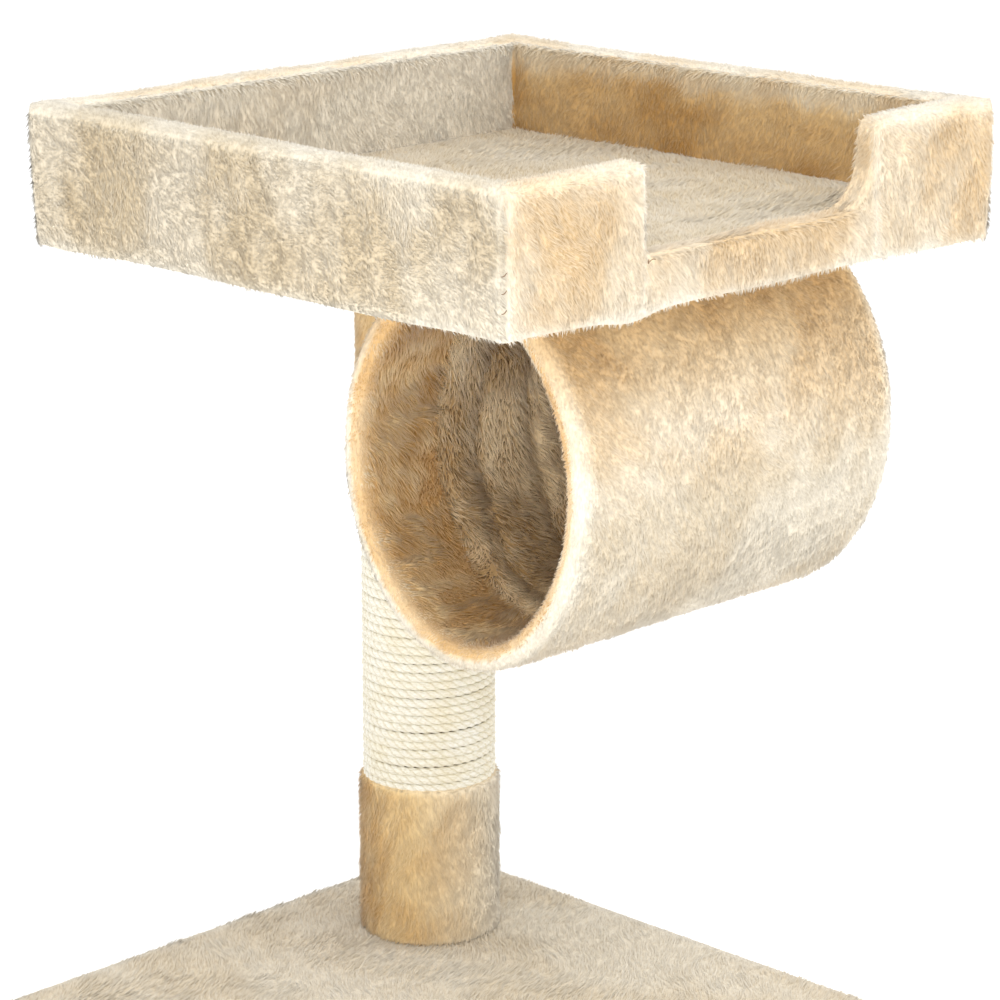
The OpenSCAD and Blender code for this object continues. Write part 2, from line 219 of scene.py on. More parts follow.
def plushMaterial(name, deep, light, rootShade=0.85, skin=False):
    # deep and light are the two looks of the pile as it turns, each from cool to warm; a skin has
    # no fibres, so it gets a fine streaked grain instead
    material, nodes, links, shader = newMaterial(name, 0.9, 0.25)
    warm = attributeNode(nodes, "warm")
    stops = (0.0, 0.5, 1.0)
    low = rampNode(nodes, links, warm, list(zip(stops, deep)))
    high = rampNode(nodes, links, warm, list(zip(stops, light)))
    body = mixNode(nodes, links, attributeNode(nodes, "turn"), low, high)
    if skin:
        grain = rampNode(nodes, links, noiseNode(nodes, links, 700, 3, stretch=(1, 1, 0.35)),
                         [(0.3, (0.8, 0.78, 0.74, 1)), (0.65, (1, 1, 1, 1))])
        links.new(shadeBy(nodes, links, body, grain), shader.inputs["Base Color"])
        return material
    tint = rampNode(nodes, links, attributeNode(nodes, "tuft"),
                    [(0.0, (0.9, 0.89, 0.87, 1)), (1.0, (1.0, 1.0, 1.0, 1))])
    body = shadeBy(nodes, links, body, tint)
    climb = nodes.new("ShaderNodeMapRange")
    climb.inputs["From Min"].default_value = 0.3
    climb.inputs["To Max"].default_value = 0.45
    links.new(attributeNode(nodes, "fibre"), climb.inputs["Value"])
    pale = mixNode(nodes, links, 0.3, high, (1.0, 0.98, 0.94, 1))
    colour = mixNode(nodes, links, climb.outputs["Result"], body, pale)
    # less light gets down to the roots
    depth = rampNode(nodes, links, attributeNode(nodes, "fibre"),
                     [(0.0, (rootShade, rootShade * 0.97, rootShade * 0.92, 1)), (0.55, (1, 1, 1, 1))])
    links.new(shadeBy(nodes, links, colour, depth), shader.inputs["Base Color"])
    return material


def bumpOn(nodes, links, shader, height, distance):
    bump = nodes.new("ShaderNodeBump")
    bump.inputs["Strength"].default_value = 0.5
    bump.inputs["Distance"].default_value = distance
    links.new(height, bump.inputs["Height"])
    links.new(bump.outputs["Normal"], shader.inputs["Normal"])


def sisalMaterial():
    material, nodes, links, shader = newMaterial("sisalFibre", 0.8, 0.15)
    along = attributeNode(nodes, "strand")
    fibres = noiseNode(nodes, links, 420, 4, stretch=(1, 1, 3))
    patches = noiseNode(nodes, links, 45, 3)
    colour = rampNode(nodes, links, fibres, [
        (0.3, tone(226, 220, 202)), (0.5, tone(242, 239, 227)), (0.72, tone(251, 250, 244))])
    warm = rampNode(nodes, links, patches, [(0.35, (0.97, 0.94, 0.86, 1)), (0.65, (1, 1, 1, 1))])
    colour = shadeBy(nodes, links, colour, warm)
    # the grooves between the strands are painted darker and warmer: painted shade in the creases
    groove = rampNode(nodes, links, along, [(0.0, (0.80, 0.76, 0.66, 1)), (0.4, (1, 1, 1, 1))])
    colour = shadeBy(nodes, links, colour, groove)
    links.new(colour, shader.inputs["Base Color"])
    bumpOn(nodes, links, shader, fibres, 0.0006)
    return material


def boardMaterial(name, dark, mid, pale, scale=260):
    # pressed chips, longer along the board than across it
    material, nodes, links, shader = newMaterial(name, 0.75)
    chips = nodes.new("ShaderNodeTexVoronoi")
    chips.inputs["Scale"].default_value = scale
    links.new(stretchedPlace(nodes, links, (1, 0.45, 2.2)), chips.inputs["Vector"])
    colour = rampNode(nodes, links, chips.outputs["Color"], [(0.1, dark), (0.5, mid), (0.9, pale)])
    links.new(colour, shader.inputs["Base Color"])
    return material


def grainMaterial(name, roughness, dark, pale, scale, detail, stretch=(1, 1, 1), sheen=0.0,
                  metal=0.0, bump=0.0):
    # one fine grain between two tones, drawn out along one axis by stretch
    material, nodes, links, shader = newMaterial(name, roughness, sheen)
    shader.inputs["Metallic"].default_value = metal
    grain = noiseNode(nodes, links, scale, detail, stretch=stretch)
    links.new(rampNode(nodes, links, grain, [(0.3, dark), (0.7, pale)]), shader.inputs["Base Color"])
    if bump:
        bumpOn(nodes, links, shader, grain, bump)
    return material


def metalMaterial(name, dark, pale):
    return grainMaterial(name, 0.35, dark, pale, 300, 3, stretch=(1, 1, 8), metal=1.0)


def feltMaterial(name, dark, pale):
    return grainMaterial(name, 0.95, dark, pale, 700, 5, sheen=0.3, bump=0.0005)


plushDeep = (tone(212, 197, 166), tone(238, 202, 146), tone(200, 150, 78))
plushLight = (tone(240, 232, 215), tone(248, 239, 221), tone(248, 218, 164))
liningDeep = (tone(186, 150, 98), tone(192, 154, 98), tone(200, 158, 98))
liningLight = (tone(246, 224, 186), tone(250, 226, 184), tone(252, 224, 176))
plushFur = plushMaterial("plushFur", plushDeep, plushLight)
plushCloth = plushMaterial("plushCloth", plushDeep, plushLight, skin=True)
liningFur = plushMaterial("liningFur", liningDeep, liningLight, rootShade=0.45)
liningCloth = plushMaterial("liningCloth", liningDeep, liningLight, skin=True)
boardTone = boardMaterial("particleBoard", tone(150, 118, 76), tone(194, 162, 116), tone(220, 194, 150))
plugTone = boardMaterial("turnedWood", tone(170, 136, 92), tone(200, 168, 120), tone(216, 188, 146), 90)
cardTone = grainMaterial("woundCard", 0.85, tone(148, 116, 78), tone(184, 150, 108), 120, 5,
                         stretch=(1, 1, 6))
steelTone = metalMaterial("zincSteel", tone(150, 152, 155), tone(205, 207, 210))
brassTone = metalMaterial("insertBrass", tone(176, 140, 70), tone(214, 180, 106))
feltTone = feltMaterial("backingFelt", tone(82, 76, 70), tone(122, 115, 107))
waddingTone = feltMaterial("padWadding", tone(214, 214, 210), tone(244, 244, 242))
threadTone = grainMaterial("sewingThread", 0.7, tone(112, 86, 60), tone(150, 120, 88), 900, 3)
sisalTone = sisalMaterial()
say("materials made")

furCount = {"quick": 0.3, "triangles": 0}
# pile is left off where another piece touches a face or stands within reach in front of it
gaps = {"start": 0.0002, "touching": 0.0008, "reach": 0.003}
pileOn = {}


def pileLook(co, out, pile):
    # how light the pile looks at each place, how warm, and how near a seam or an edge it is
    patch = smoothNoise(co, pile["patch"], pile["patchSeed"])
    ragged = smoothNoise(co, pile["patch"] * 0.32, pile["patchSeed"] + 5)
    fine = smoothNoise(co * np.array([1, 1, 0.45]), pile["patch"] * 0.14, pile["patchSeed"] + 9)
    turn = np.tanh(1.5 * (patch + 0.5 * ragged + 0.15 * fine))
    edge = pile["edge"](co) if pile["edge"] else np.zeros(len(co))
    # each piece's warm function gives its warmth and a lift, which carry its painted light and shade
    warm, lift = pile["warm"](co, out)
    light = pile["middle"] + pile["contrast"] * turn + lift + 0.32 * edge
    return turn, edge, np.clip(light, 0, 1), np.clip(warm - 0.12 * edge, 0, 1)


def setValues(mesh, values):
    for key, value in values.items():
        mesh.attributes.new(key, "FLOAT", "POINT").data.foreach_set("value", value.astype(np.float32))


def dressSkin(skin, pile):
    co = pointsOf(skin)
    _, _, light, warm = pileLook(co, normalsOf(skin), pile)
    setValues(skin.data, {"turn": light, "warm": warm})


def pickRoots(skin, pile, keep, rng, share):
    # spreads the roots evenly over the faces that keep picks
    mesh = skin.data
    mesh.calc_loop_triangles()
    corners = np.empty(len(mesh.loop_triangles) * 3, np.int32)
    mesh.loop_triangles.foreach_get("vertices", corners)
    corners = corners.reshape(-1, 3)
    co, normals = pointsOf(skin), normalsOf(skin)
    a, b, c = (co[corners[:, i]] for i in range(3))
    cross = np.cross(b - a, c - a)
    area = np.linalg.norm(cross, axis=1) / 2
    wanted = keep((a + b + c) / 3, unit(cross)) & (area > 0)
    corners, area = corners[wanted], area[wanted]
    count = int(area.sum() * pile["perSquareMetre"] * share)
    face = rng.choice(len(area), count, p=area / area.sum())
    u, v = rng.random((2, count, 1))
    u, v = np.where(u + v > 1, 1 - u, u), np.where(u + v > 1, 1 - v, v)
    pick = corners[face]
    root = co[pick[:, 0]] * (1 - u - v) + co[pick[:, 1]] * u + co[pick[:, 2]] * v
    out = unit(normals[pick[:, 0]] * (1 - u - v) + normals[pick[:, 1]] * u + normals[pick[:, 2]] * v)
    return root, out


def lieOf(root, out, clump, pile):
    # the pile lies the way it is combed, and swirls from place to place
    swirl = smoothNoise(root, pile["patch"] * 0.7, pile["seed"] + 2)
    lie = np.asarray(pile["comb"](root, out), float)
    lie = unit(lie - out * (lie * out).sum(1, keepdims=True))
    side = np.cross(out, lie)
    angle = (pile["turn"] * swirl + pile["clumpTurn"] * clump)[:, None]
    return lie * np.cos(angle) + side * np.sin(angle)


def tuftMesh(name, points, out, velvet):
    # a closed spike of four faces for each four points
    count = len(points) // 4
    start = np.arange(count, dtype=np.int64)[:, None] * 4
    faces = np.concatenate([start + np.array(f) for f in ((0, 2, 1), (0, 1, 3), (1, 2, 3), (2, 0, 3))], 1)
    fur = bpy.data.meshes.new(name)
    fur.vertices.add(count * 4)
    fur.vertices.foreach_set("co", points.astype(np.float32).ravel())
    fur.loops.add(count * 12)
    fur.loops.foreach_set("vertex_index", faces.astype(np.int32).ravel())
    fur.polygons.add(count * 4)
    fur.polygons.foreach_set("loop_start", np.arange(count * 4, dtype=np.int32) * 3)
    fur.update(calc_edges=True)
    fur.shade_smooth()
    # the fibres are shaded partly like the cloth under them, as a dense pile is
    own = np.empty(count * 12, np.float32)
    fur.vertex_normals.foreach_get("vector", own)
    soft = unit(own.reshape(-1, 3) * (1 - velvet) + np.repeat(out, 4, 0) * velvet)
    fur.normals_split_custom_set_from_vertices(soft.tolist())
    return fur


def growFur(name, skin, pile, material, keep, wears="plush"):
    # plants small closed spikes on the faces of skin that keep picks
    rng = np.random.default_rng(pile["seed"])
    share = 1.0
    root, out = pickRoots(skin, pile, keep, rng, share)
    count = len(root)
    turn, edge, light, warm = pileLook(root, out, pile)
    clump = smoothNoise(root, pile["clump"], pile["seed"] + 3)
    lie = lieOf(root, out, clump, pile)
    lean = (pile["lean"] * (1 + 0.2 * turn + 0.2 * clump) * (1 - 0.12 * edge))[:, None]
    way = unit(out + lie * lean + pile["scatter"] * rng.normal(size=(count, 3)))
    length = pile["length"] * (0.65 + 0.7 * rng.random((count, 1))) * (1 - pile["trim"] * edge[:, None])
    tip = root + way * length
    tip[:, 2] -= pile["droop"] * length[:, 0]
    foot = root - out * pile["sink"]
    across = unit(np.cross(way, rng.normal(size=(count, 3))))
    deep = np.cross(way, across)
    half = pile["width"] / math.sqrt(share) / 2 * (0.7 + 0.6 * rng.random((count, 1)))
    turns = [(math.cos(t), math.sin(t)) for t in (0.0, 2.0944, 4.1888)]
    ring = [foot + half * (across * x + deep * y) for x, y in turns]
    fur = tuftMesh(name, np.stack([*ring, tip], 1).reshape(-1, 3), out, pile["velvet"])
    setValues(fur, {
        "fibre": np.tile([0.0, 0.0, 0.0, 1.0], count),
        "tuft": np.repeat(rng.random(count), 4),
        "turn": np.repeat(np.clip(light + pile["clumpTone"] * clump, 0, 1), 4),
        "warm": np.repeat(warm, 4),
    })
    layTufts(fur, root, count)
    piece = addPiece(name, fur)
    pileOn.setdefault(skin.name, []).append(piece)
    finishPiece(piece, wears, material)
    furCount["triangles"] += count * 4
    say(f"{name}: {count} tufts")


def layTufts(fur, root, count):
    # gives each tuft a cell of its own on the map, in an order in which neighbours stay together
    span = np.ptp(root, axis=0)
    first, second = np.argsort(-span)[:2]
    bands = max(int(math.sqrt(count) / 4), 1)
    band = np.minimum((root[:, second] - root[:, second].min()) / max(span[second], 1e-9) * bands,
                      bands - 1).astype(int)
    order = np.lexsort((np.where(band % 2, -root[:, first], root[:, first]), band))
    across = math.ceil(math.sqrt(count))
    place = np.empty(count, int)
    place[order] = np.arange(count)
    cell = 1 / across
    left, low = (place % across) * cell, (place // across) * cell
    shape = np.array([(0.15, 0.1), (0.85, 0.1), (0.5, 0.25), (0.5, 0.9)]) * cell
    at = np.stack([left, low], 1)[:, None, :] + shape[None]
    layer = fur.uv_layers.new(name="OFBake")
    index = np.empty(count * 12, np.int32)
    fur.loops.foreach_get("vertex_index", index)
    layer.uv.foreach_set("vector", at.reshape(-1, 2)[index].astype(np.float32).ravel())


def clearOf(others):
    # picks the faces with no other piece against them or right in front of them
    trees = [treeOf(o) for o in others]

    def keep(centre, normal):
        found = np.ones(len(centre), bool)
        for i, (p, n) in enumerate(zip(centre, normal)):
            start, way = Vector(p + n * gaps["start"]), Vector(n)
            found[i] = not any(t.ray_cast(start, way, gaps["reach"])[0]
                               or t.find_nearest(Vector(p), gaps["touching"])[0] for t in trees)
        return found
    return keep


def copyOfNode(node, name):
    piece = addPiece(name, nodesNow[node].data.copy())
    piece.matrix_world.identity()
    editMode(piece)
    bpy.ops.mesh.remove_doubles(threshold=1e-5)
    bpy.ops.mesh.dissolve_limited(angle_limit=math.radians(1.5))
    objectMode()
    return piece


def cutInGrid(piece, step):
    # cuts flat faces into a grid, so that they can be shaped
    co = pointsOf(piece)
    low, high = co.min(0), co.max(0)
    for axis in range(3):
        cuts = int((high[axis] - low[axis]) / step[axis])
        way = [0, 0, 0]
        way[axis] = 1
        for i in range(1, cuts + 1):
            place = (low + high) / 2
            place[axis] = low[axis] + (high[axis] - low[axis]) * i / (cuts + 1)
            cutAcross(piece, place, way)


def sideDistance(co, low, high):
    # how far each point is in from the nearest of the four sides, and that side's outward way
    insets = np.stack([co[:, 0] - low[0], high[0] - co[:, 0], co[:, 1] - low[1], high[1] - co[:, 1]], 1)
    ways = np.array([(-1, 0, 0), (1, 0, 0), (0, -1, 0), (0, 1, 0)], float)
    near = insets.argmin(1)
    return insets[np.arange(len(co)), near], ways[near]


def roundWalls(piece, low, high, wall, radius, lowerRadius):
    # rounds the wall's top edges, inside and outside, and the lower outer edge
    co = pointsOf(piece)
    inset, way = sideDistance(co, low, high)
    for top, edge in ((True, radius), (False, lowerRadius)):
        s = inset - wall / 2
        flat = wall / 2 - edge
        rise = co[:, 2] - (high[2] - edge) if top else (low[2] + edge) - co[:, 2]
        over = np.abs(s) - flat
        if not top:
            over = np.where(s < 0, over, -1)
        far = np.hypot(over, rise)
        move = (rise > 0) & (over > 0) & (far > edge) & (np.abs(s) < wall)
        shrink = np.where(move, edge / np.maximum(far, 1e-9), 1)
        newOver, newRise = over * shrink, rise * shrink
        shift = np.where(move, (over - newOver) * np.sign(s), 0)
        co += way * shift[:, None]
        co[:, 2] += np.where(move, (newRise - rise) * (1 if top else -1), 0)
        inset, way = sideDistance(co, low, high)
    setPoints(piece, co)


def sinkSkin(piece, covered, depth):
    # takes the outer side of a cover in, to leave room for its pile
    trees = [treeOf(nodesNow[n]) for n in covered]
    co, normals = pointsOf(piece), normalsOf(piece)
    gap = np.array([min(t.find_nearest(Vector(p))[3] for t in trees) for p in co])
    # nothing moves where the lining meets the cover, so no groove opens there
    seam = np.abs(co[:, 2] - boxOf("bed_lining")[1][2]) < 0.001
    setPoints(piece, co - normals * (depth * (gap > 0.0025) * ~seam)[:, None])


def ruffle(piece, amount, size, seed):
    # small swells in the cloth, as padding and glue leave them
    co, normals = pointsOf(piece), normalsOf(piece)
    swell = smoothNoise(co, size, seed) * amount
    setPoints(piece, co + normals * swell[:, None])


def smoothShade(piece, angle=50):
    makeActive(piece)
    bpy.ops.object.shade_smooth_by_angle(angle=math.radians(angle))


bed = {
    "wall": 0.018, "topRound": 0.0075, "lowerRound": 0.004,
    "gridStep": (0.008, 0.008, 0.008), "swell": 0.0009, "swellSize": 0.06, "seed": 51,
    "plainCorner": 0.002, "cornerOut": 0.005, "rightCorner": 0.009, "cornerReach": 0.022,
    "cornerIn": 0.0035, "footReach": 0.03, "clothThick": 0.003,
    "foldX": 0.012, "foldDrop": 0.004, "foldWide": 0.02, "foldDeep": 0.012, "foldHigh": 0.006,
    "entry": (0.114, 0.323),
}
bedLow, bedHigh = boxOf("bed_cover")
underBedCover = [nodesNow[n] for n in (*wallBoards, "bed_board", "bed_lining", "bed_underside_cover")]


def pullCorners(piece):
    # the cloth stands out a little at the seamed corners, most at the front right one, and is
    # drawn in at the foot of the rear left one
    co = pointsOf(piece)
    low, high = bedLow, bedHigh
    for x, y, out in ((low[0], low[1], bed["plainCorner"]), (high[0], low[1], bed["rightCorner"]),
                      (low[0], high[1], bed["cornerOut"]), (high[0], high[1], bed["plainCorner"])):
        gap = np.hypot(co[:, 0] - x, co[:, 1] - y)
        way = np.array([1.0 if x > 0 else -1.0, 1.0 if y > low[1] else -1.0, 0]) / math.sqrt(2)
        inset, _ = sideDistance(co, low, high)
        outside = inset < bed["clothThick"]
        near = np.exp(-(gap / bed["cornerReach"]) ** 2) * outside
        co += way * (out * near)[:, None]
        if x == low[0] and y == high[1]:
            foot = np.clip((high[2] - co[:, 2]) / (high[2] - low[2]), 0, 1) ** 2
            foot = foot * np.exp(-(gap / bed["footReach"]) ** 2)
            co -= way * (bed["cornerIn"] * foot * outside)[:, None]
    # a fold of the cover hangs under the left end of the entry
    under = np.exp(-((co[:, 0] - bed["foldX"]) / bed["foldWide"]) ** 2
                   - ((co[:, 1] - low[1]) / bed["foldDeep"]) ** 2)
    co[:, 2] -= bed["foldDrop"] * under * (co[:, 2] < low[2] + bed["foldHigh"])
    setPoints(piece, co)


def makeBedCover():
    cover = copyOfNode("bed_cover", "bedCover")
    cutInGrid(cover, bed["gridStep"])
    roundWalls(cover, bedLow, bedHigh, bed["wall"], bed["topRound"], bed["lowerRound"])
    sinkSkin(cover, (*wallBoards, "bed_board"), pileRoom)
    ruffle(cover, bed["swell"], bed["swellSize"], bed["seed"])
    pullCorners(cover)
    smoothShade(cover)
    return finishPiece(cover, "plush", plushCloth, "bed_cover")


def makeBedLining():
    lining = copyOfNode("bed_lining", "bedLining")
    cutInGrid(lining, bed["gridStep"])
    sinkSkin(lining, wallBoards, pileRoom)
    smoothShade(lining)
    return finishPiece(lining, "plush", plushCloth, "bed_lining")


bedCover = makeBedCover()
say(f"bed cover: {len(bedCover.data.polygons)} faces")
bedLining = makeBedLining()

bedFloor = {"swell": 0.0012, "swellSize": 0.07, "heldEdge": 0.04, "gridStep": (0.008, 0.008, 0.02),
            "seed": 41}


def floorRise(co):
    # how far the padded floor stands above its plain height
    low, high = boxOf("bed_floor_cover")
    inset, _ = sideDistance(co, low, high)
    lumps = smoothNoise(co * np.array([1, 1, 0]), bedFloor["swellSize"], bedFloor["seed"])
    return bedFloor["swell"] * (1.2 + lumps) * np.clip(inset / bedFloor["heldEdge"], 0, 1)


def makeBedFloor():
    floor = copyOfNode("bed_floor_cover", "bedFloorCover")
    cutInGrid(floor, bedFloor["gridStep"])
    co = pointsOf(floor)
    co[:, 2] += floorRise(co)
    setPoints(floor, co)
    smoothShade(floor)
    return finishPiece(floor, "plush", plushCloth, "bed_floor_cover")


bedFloorCover = makeBedFloor()


def makeBedUnderside():
    under = copyOfNode("bed_underside_cover", "bedUndersideCover")
    smoothShade(under)
    return finishPiece(under, "plush", plushCloth, "bed_underside_cover")


bedUnderside = makeBedUnderside()

pad = {"step": (0.010, 0.010, 0.010), "shrink": 0.004, "pressure": 4.0, "frames": 20, "cap": 0.004,
       "clearance": 0.0003, "fill": 0.8}


def makeBedPad():
    piece = copyOfNode("bed_pad", "bedPad")
    cutInGrid(piece, pad["step"])
    low, high = boxOf("bed_pad")
    middle = (low + high) / 2
    co = pointsOf(piece)
    co[:, :2] = middle[:2] + (co[:, :2] - middle[:2]) * (1 - pad["shrink"] / (middle - low)[:2])
    setPoints(piece, co)
    makeActive(piece)
    cloth = piece.modifiers.new("swell", "CLOTH")
    cloth.settings.use_pressure = True
    cloth.settings.uniform_pressure_force = pad["pressure"]
    cloth.settings.effector_weights.gravity = 0
    cloth.point_cache.frame_start, cloth.point_cache.frame_end = 1, pad["frames"]
    for i in range(1, pad["frames"] + 1):
        bpy.context.scene.frame_set(i)
    bpy.ops.object.modifier_apply(modifier="swell")
    bpy.context.scene.frame_set(1)
    move = pointsOf(piece) - co
    far = np.linalg.norm(move, axis=1, keepdims=True)
    swollen = co + move * np.minimum(1, pad["cap"] / np.maximum(far, 1e-9))
    # it fills out to the walls, the board and the cloth over it
    swollen[:, :2] = np.clip(swollen[:, :2], low[:2], high[:2])
    swollen[:, 2] = np.clip(swollen[:, 2], low[2], high[2] + floorRise(swollen) - pad["clearance"])
    setPoints(piece, swollen)
    smoothShade(piece)
    return finishPiece(piece, "wadding", waddingTone, "bed_pad")


makeBedPad()
say("bed made")

baseLow, baseHigh = boxOf("base_cover")
base = {"topRound": 0.005, "lowerRound": 0.002, "gridStep": (0.012, 0.012, 0.007)}


def makeBaseCover():
    cover = copyOfNode("base_cover", "baseCover")
    cutInGrid(cover, base["gridStep"])
    # the base is one wide wall, so only its outer edges are rounded
    roundWalls(cover, baseLow, baseHigh, baseHigh[0] - baseLow[0], base["topRound"], base["lowerRound"])
    sinkSkin(cover, ("base_board",), pileRoom)
    smoothShade(cover)
    return finishPiece(cover, "plush", plushCloth, "base_cover")


def makeBaseBacking():
    backing = copyOfNode("base_backing", "baseBacking")
    smoothShade(backing)
    return finishPiece(backing, "felt", feltTone, "base_backing")


baseCover = makeBaseCover()
baseBacking = makeBaseBacking()
say("base made")

tubeLow, tubeHigh = boxOf("post_tube")
postX, postY = (tubeLow[0] + tubeHigh[0]) / 2, (tubeLow[1] + tubeHigh[1]) / 2
tubeRadius = (tubeHigh[0] - tubeLow[0]) / 2
sleeve = {"sides": 96, "rows": 22, "lip": 0.0025}


def makeSleeve(node, name):
    low, high = boxOf(node)
    radius, height = (high[0] - low[0]) / 2 - pileRoom, high[2] - low[2]
    deselect()
    bpy.ops.mesh.primitive_cylinder_add(
        vertices=sleeve["sides"], radius=radius, depth=height, end_fill_type="NGON",
        location=(postX, postY, (low[2] + high[2]) / 2))
    piece = bpy.context.object
    piece.name = name
    bpy.ops.object.transform_apply(location=True, rotation=True, scale=True)
    editMode(piece, "DESELECT")
    bpy.ops.mesh.select_mode(type="FACE")
    objectMode()
    for polygon in piece.data.polygons:
        polygon.select = abs(polygon.normal.z) > 0.5
    bpy.ops.object.mode_set(mode="EDIT")
    bpy.ops.mesh.inset(thickness=radius - tubeRadius, depth=0)
    bpy.ops.mesh.bridge_edge_loops()
    objectMode()
    for i in range(1, sleeve["rows"]):
        cutAcross(piece, (postX, postY, low[2] + height * i / sleeve["rows"]), (0, 0, 1))
    makeActive(piece)
    bevel = piece.modifiers.new("edge", "BEVEL")
    bevel.width, bevel.segments = sleeve["lip"], 3
    bevel.limit_method, bevel.angle_limit = "ANGLE", math.radians(60)
    bpy.ops.object.modifier_apply(modifier="edge")
    smoothShade(piece, 60)
    return finishPiece(piece, "plush", plushCloth, node)


lowerSleeve = makeSleeve("post_lower_sleeve", "postLowerSleeve")
upperSleeve = makeSleeve("post_upper_sleeve", "postUpperSleeve")

rope = {
    "diameter": 0.0062, "pitch": 0.006, "perTurn": 176, "strands": 3, "strandShare": 0.22,
    "pressed": 1.12, "tuck": 0.9, "twistLength": 0.020, "profile": 9, "bite": 0.0001,
    "wander": 0.0003, "stray": 0.00025,
}


def makeRope():
    # one rope wound from the lower sleeve to the upper one, of three twisted strands
    low, high = boxOf("sisal_rope")
    height = high[2] - low[2]
    turns = round(height / rope["pitch"])
    pitch = height / turns
    centre = tubeRadius + rope["diameter"] / 2 - rope["bite"]
    steps = int((turns - 1 + 2 * rope["tuck"]) * rope["perTurn"])
    t = np.arange(steps + 1) / rope["perTurn"] - rope["tuck"]
    angle = 2 * math.pi * t
    wander = rope["wander"] * np.sin(angle * 0.37 + 1) * np.sin(angle * 0.113)
    radius = centre + rope["stray"] * np.sin(angle * 0.71) * np.sin(angle * 0.29 + 2)
    z = low[2] + pitch / 2 + pitch * t + wander * (t > 1) * (t < turns - 2)
    line = np.stack([postX + radius * np.cos(angle), postY + radius * np.sin(angle), z], 1)
    outward = np.stack([np.cos(angle), np.sin(angle), np.zeros(steps + 1)], 1)
    along = unit(np.gradient(line, axis=0))
    up = unit(np.cross(along, outward))
    outward = np.cross(up, along)
    travelled = np.concatenate([[0], np.cumsum(np.linalg.norm(np.diff(line, axis=0), axis=1))])
    twist = 2 * math.pi * travelled / rope["twistLength"]
    half = rope["diameter"] / 2
    count = rope["profile"]
    around = 2 * math.pi * np.arange(count) / count
    lobe = 1 - rope["strandShare"] * 0.5 * (1 - np.cos(rope["strands"] * (around - twist[:, None])))
    r = half * lobe
    points = (line[:, None] + outward[:, None] * (r * np.cos(around))[:, :, None]
              + up[:, None] * (r * rope["pressed"] * np.sin(around))[:, :, None]).reshape(-1, 3)
    ring, place = np.divmod(np.arange(steps * count), count)
    after = (place + 1) % count
    quads = np.stack([ring * count + place, ring * count + after,
                      (ring + 1) * count + after, (ring + 1) * count + place], 1)
    ends = [list(range(count))[::-1], list(range(steps * count, (steps + 1) * count))]
    mesh = bpy.data.meshes.new("sisalWinding")
    mesh.from_pydata(points.tolist(), [], quads.tolist() + ends)
    mesh.attributes.new("strand", "FLOAT", "POINT").data.foreach_set(
        "value", ((lobe - lobe.min()) / np.ptp(lobe)).astype(np.float32).ravel())
    piece = addPiece("sisalWinding", mesh)
    turnOut(piece)
    mesh.shade_smooth()
    say(f"rope: {travelled[-1]:.2f} m, {len(mesh.polygons)} faces")
    return finishPiece(piece, "sisal", sisalTone, "sisal_rope")


makeRope()
say("post made")

tunnelLow, tunnelHigh = boxOf("tunnel_cover")
tunnelY = (tunnelLow[1] + tunnelHigh[1]) / 2
tunnelZ = (tunnelLow[2] + tunnelHigh[2]) / 2
tunnel = {"sides": 128, "crown": 0.086, "plush": 0.004, "shell": 0.004, "rimRound": 0.005,
          "loose": 0.002, "roll": 0.004, "step": 0.006}


def ovalAt(angle, grow):
    # a point of the oval that is grown by grow: two tight arcs above and below, two wide ones aside
    halfW = (tunnelHigh[1] - tunnelLow[1]) / 2
    halfH = (tunnelHigh[2] - tunnelLow[2]) / 2
    rise, side = halfH - tunnel["crown"], halfW - tunnel["crown"]
    shift = (rise * rise - side * side) / (2 * side)
    wide = halfW + shift
    meet = math.atan2(rise, shift)
    s, c = np.sin(angle), np.cos(angle)
    tight = np.abs(np.arctan2(np.abs(s), np.abs(c))) > meet
    y = np.where(tight, (tunnel["crown"] + grow) * c, np.sign(c) * ((wide + grow) * np.abs(c) - shift))
    z = np.where(tight, np.sign(s) * ((tunnel["crown"] + grow) * np.abs(s) + rise), (wide + grow) * s)
    return y, z


def sweepTunnel(name, profile, offset=None):
    # carries a closed profile of (x, growth) points round the oval
    angle = 2 * math.pi * np.arange(tunnel["sides"]) / tunnel["sides"]
    profile = np.array(profile)
    rings = []
    for a in angle:
        grow = profile[:, 1] + (offset(profile, a) if offset else 0)
        y, z = ovalAt(np.full(len(profile), a), grow)
        rings.append(np.stack([profile[:, 0], tunnelY + y, tunnelZ + z], 1))
    points = np.concatenate(rings)
    n, m = len(angle), len(profile)
    faces = [(i * m + j, i * m + (j + 1) % m, (i + 1) % n * m + (j + 1) % m, (i + 1) % n * m + j)
             for i in range(n) for j in range(m)]
    mesh = bpy.data.meshes.new(name)
    mesh.from_pydata(points.tolist(), [], faces)
    piece = addPiece(name, mesh)
    turnOut(piece)
    smoothShade(piece)
    return piece


def ladder(x0, x1, grow):
    # evenly spaced points from x0 up to x1, without the last
    count = max(int(abs(x1 - x0) / tunnel["step"]), 1)
    return [(x0 + (x1 - x0) * i / count, grow) for i in range(count)]


